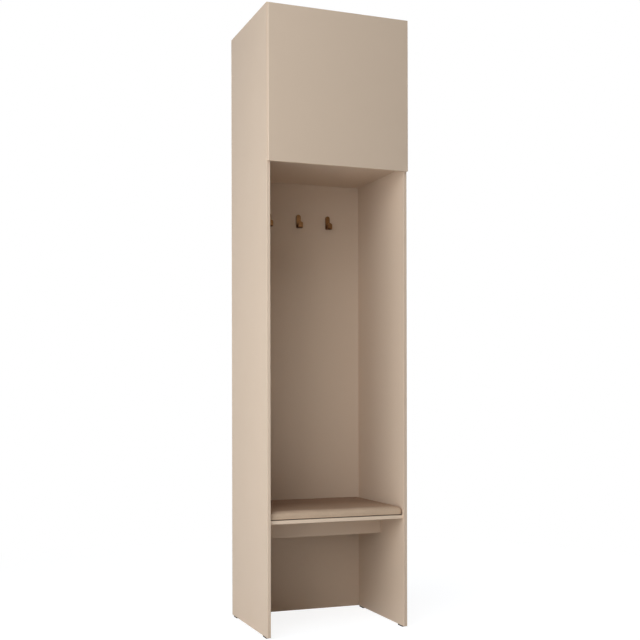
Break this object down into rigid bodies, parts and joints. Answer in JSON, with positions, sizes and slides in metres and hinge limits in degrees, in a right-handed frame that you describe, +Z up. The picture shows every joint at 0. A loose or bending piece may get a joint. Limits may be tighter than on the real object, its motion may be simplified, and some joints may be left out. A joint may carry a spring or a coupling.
{
  "type": "hall wardrobe",
  "caption": "Tall narrow hall wardrobe with a handleless cupboard on top, an open coat niche with metal hooks, a cushioned seat and an open shoe space.",
  "frame": {"origin": "on the floor under the middle of the whole object, door included", "axes": "+Z up, front towards -Y, +X to the viewer's right when facing the front"},
  "size_m": [0.6, 0.505, 2.48],
  "materials": {
    "lacquered_board": "matte lacquer",
    "cushion_fabric": "soft woven",
    "bronze": "satin",
    "glide_plastic": "matte",
    "zinc_plated_steel": "satin",
    "dowel_beech": "bare",
    "buffer_rubber": "soft"
  },
  "bodies": {
    "carcass": {"left_side_panel": "lacquered_board", "right_side_panel": "lacquered_board", "top_panel": "lacquered_board", "cupboard_floor": "lacquered_board", "seat_board": "lacquered_board", "seat_apron": "lacquered_board", "back_panel": "lacquered_board", "left_hook": "bronze", "middle_hook": "bronze", "right_hook": "bronze", "hook_screws": "bronze", "front_left_glide": "glide_plastic", "rear_left_glide": "glide_plastic", "front_right_glide": "glide_plastic", "rear_right_glide": "glide_plastic", "cam_bolts": "zinc_plated_steel", "cam_locks": "zinc_plated_steel", "back_screws": "zinc_plated_steel", "glide_nails": "zinc_plated_steel", "wall_bracket_screws": "zinc_plated_steel", "left_wall_bracket": "zinc_plated_steel", "right_wall_bracket": "zinc_plated_steel", "hinge_plate_screws": "zinc_plated_steel", "hinge_arm_screws": "zinc_plated_steel", "lower_hinge_arm": "zinc_plated_steel", "upper_hinge_arm": "zinc_plated_steel", "lower_hinge_plate": "zinc_plated_steel", "upper_hinge_plate": "zinc_plated_steel", "wooden_dowels": "dowel_beech"},
    "door": {"cupboard_door": "lacquered_board", "lower_hinge_cup": "zinc_plated_steel", "upper_hinge_cup": "zinc_plated_steel", "lower_hinge_pin": "zinc_plated_steel", "upper_hinge_pin": "zinc_plated_steel", "hinge_cup_screws": "zinc_plated_steel", "door_buffers": "buffer_rubber"},
    "cushion": {"seat_cushion": "cushion_fabric"}
  },
  "joints": [
    {"name": "door_swing", "type": "hinge", "parent": "carcass", "child": "door", "pos_m": [0.2915, -0.245, 2.167], "axis": [0, 0, 1], "range_deg": [0, 94]},
    {"name": "cushion_slide", "type": "slide", "parent": "carcass", "child": "cushion", "axis": [0, -1, 0], "range_m": [0, 0.475]}
  ]
}
